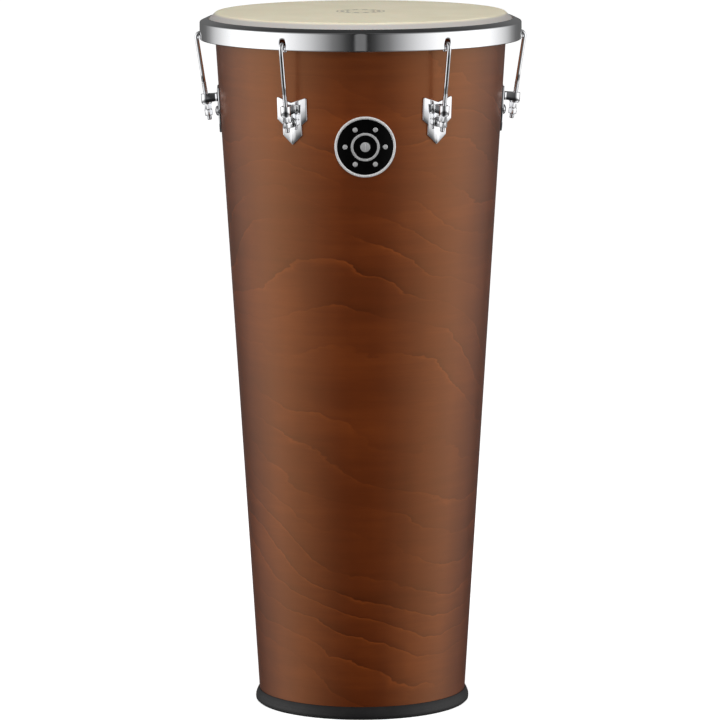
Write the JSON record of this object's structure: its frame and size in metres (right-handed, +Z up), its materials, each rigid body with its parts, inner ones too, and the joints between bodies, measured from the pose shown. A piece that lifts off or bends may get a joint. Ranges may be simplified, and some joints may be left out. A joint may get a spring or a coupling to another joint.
{
  "type": "hand drum",
  "caption": "Tall conical wooden hand drum with a flat skin head, chrome counterhoop, tuning hooks in shield-shaped lugs, a round front badge and a rubber foot ring.",
  "frame": {"origin": "centre of the foot ring's underside, on the floor and on the drum's axis", "axes": "+Z up along the drum's axis to the playing surface; the badge faces -Y; +X is to the right seen from the badge side"},
  "size_m": [0.4148, 0.4022, 0.875],
  "materials": {
    "stained_ply": "satin red-brown stain over horizontal grain",
    "foot_rubber": "matte black",
    "film": "cream synthetic skin",
    "channel_aluminium": "satin",
    "hoop_chrome": "polished",
    "lug_chrome": "polished",
    "rod_chrome": "polished",
    "fastener_steel": "bright zinc",
    "badge_metal": "polished",
    "badge_black": "gloss enamel"
  },
  "bodies": {
    "drum": {"shell": "stained_ply", "base_ring": "foot_rubber", "drumhead_film": "film", "badge_plate": "badge_metal", "badge_enamel": "badge_black", "lug_bolts": "lug_chrome", "lug_bolt_washers": "fastener_steel", "lug_bolt_nuts": "fastener_steel", "lug_1": "lug_chrome", "lug_2": "lug_chrome", "lug_3": "lug_chrome", "lug_4": "lug_chrome", "lug_5": "lug_chrome", "lug_6": "lug_chrome", "tuning_washer_1": "rod_chrome", "tuning_washer_2": "rod_chrome", "tuning_washer_3": "rod_chrome", "tuning_washer_4": "rod_chrome", "tuning_washer_5": "rod_chrome", "tuning_washer_6": "rod_chrome"},
    "rim": {"counterhoop": "hoop_chrome", "flesh_hoop": "channel_aluminium"},
    "hook_1": {"tuning_hook_1": "rod_chrome"},
    "hook_2": {"tuning_hook_2": "rod_chrome"},
    "hook_3": {"tuning_hook_3": "rod_chrome"},
    "hook_4": {"tuning_hook_4": "rod_chrome"},
    "hook_5": {"tuning_hook_5": "rod_chrome"},
    "hook_6": {"tuning_hook_6": "rod_chrome"},
    "nut_1": {"tuning_nut_1": "rod_chrome"},
    "nut_2": {"tuning_nut_2": "rod_chrome"},
    "nut_3": {"tuning_nut_3": "rod_chrome"},
    "nut_4": {"tuning_nut_4": "rod_chrome"},
    "nut_5": {"tuning_nut_5": "rod_chrome"},
    "nut_6": {"tuning_nut_6": "rod_chrome"}
  },
  "joints": [
    {"name": "nut_1_turn", "type": "hinge", "parent": "drum", "child": "nut_1", "pos_m": [0.09615, -0.16654, 0.762], "axis": [0.0761, -0.1317, 0.9884], "range_deg": [-1800, 1080]},
    {"name": "nut_2_turn", "type": "hinge", "parent": "drum", "child": "nut_2", "pos_m": [0.1923, 0, 0.762], "axis": [0.1521, 0, 0.9884], "range_deg": [-1801, 1081]},
    {"name": "nut_3_turn", "type": "hinge", "parent": "drum", "child": "nut_3", "pos_m": [0.09615, 0.16654, 0.762], "axis": [0.0761, 0.1317, 0.9884], "range_deg": [-1801, 1081]},
    {"name": "nut_4_turn", "type": "hinge", "parent": "drum", "child": "nut_4", "pos_m": [-0.09615, 0.16654, 0.762], "axis": [-0.0761, 0.1317, 0.9884], "range_deg": [-1801, 1081]},
    {"name": "nut_5_turn", "type": "hinge", "parent": "drum", "child": "nut_5", "pos_m": [-0.1923, 0, 0.762], "axis": [-0.1521, 0, 0.9884], "range_deg": [-1801, 1081]},
    {"name": "nut_6_turn", "type": "hinge", "parent": "drum", "child": "nut_6", "pos_m": [-0.09615, -0.16654, 0.762], "axis": [-0.0761, -0.1317, 0.9884], "range_deg": [-1801, 1081]},
    {"name": "hook_1_slide", "type": "slide", "parent": "drum", "child": "hook_1", "axis": [0.0761, -0.1317, 0.9884], "range_m": [-0.00301, 0.00501]},
    {"name": "hook_2_slide", "type": "slide", "parent": "drum", "child": "hook_2", "axis": [0.1521, 0, 0.9884], "range_m": [-0.00301, 0.00501]},
    {"name": "hook_3_slide", "type": "slide", "parent": "drum", "child": "hook_3", "axis": [0.0761, 0.1317, 0.9884], "range_m": [-0.00301, 0.00501]},
    {"name": "hook_4_slide", "type": "slide", "parent": "drum", "child": "hook_4", "axis": [-0.0761, 0.1317, 0.9884], "range_m": [-0.00301, 0.00501]},
    {"name": "hook_5_slide", "type": "slide", "parent": "drum", "child": "hook_5", "axis": [-0.1521, 0, 0.9884], "range_m": [-0.00301, 0.00501]},
    {"name": "hook_6_slide", "type": "slide", "parent": "drum", "child": "hook_6", "axis": [-0.0761, -0.1317, 0.9884], "range_m": [-0.00301, 0.00501]},
    {"name": "rim_slide", "type": "slide", "parent": "drum", "child": "rim", "axis": [0, 0, 1], "range_m": [-0.003, 0.005], "deforming": ["drumhead_film"]}
  ],
  "couplings": [
    {"joint": "nut_2_turn", "follows": "nut_1_turn", "ratio": 1},
    {"joint": "nut_3_turn", "follows": "nut_1_turn", "ratio": 1},
    {"joint": "nut_4_turn", "follows": "nut_1_turn", "ratio": 1},
    {"joint": "nut_5_turn", "follows": "nut_1_turn", "ratio": 1},
    {"joint": "nut_6_turn", "follows": "nut_1_turn", "ratio": 1},
    {"joint": "hook_1_slide", "follows": "nut_1_turn", "m_per_rad": -0.00015915},
    {"joint": "hook_2_slide", "follows": "nut_1_turn", "m_per_rad": -0.00015915},
    {"joint": "hook_3_slide", "follows": "nut_1_turn", "m_per_rad": -0.00015915},
    {"joint": "hook_4_slide", "follows": "nut_1_turn", "m_per_rad": -0.00015915},
    {"joint": "hook_5_slide", "follows": "nut_1_turn", "m_per_rad": -0.00015915},
    {"joint": "hook_6_slide", "follows": "nut_1_turn", "m_per_rad": -0.00015915},
    {"joint": "rim_slide", "follows": "nut_1_turn", "m_per_rad": -0.0001573}
  ]
}
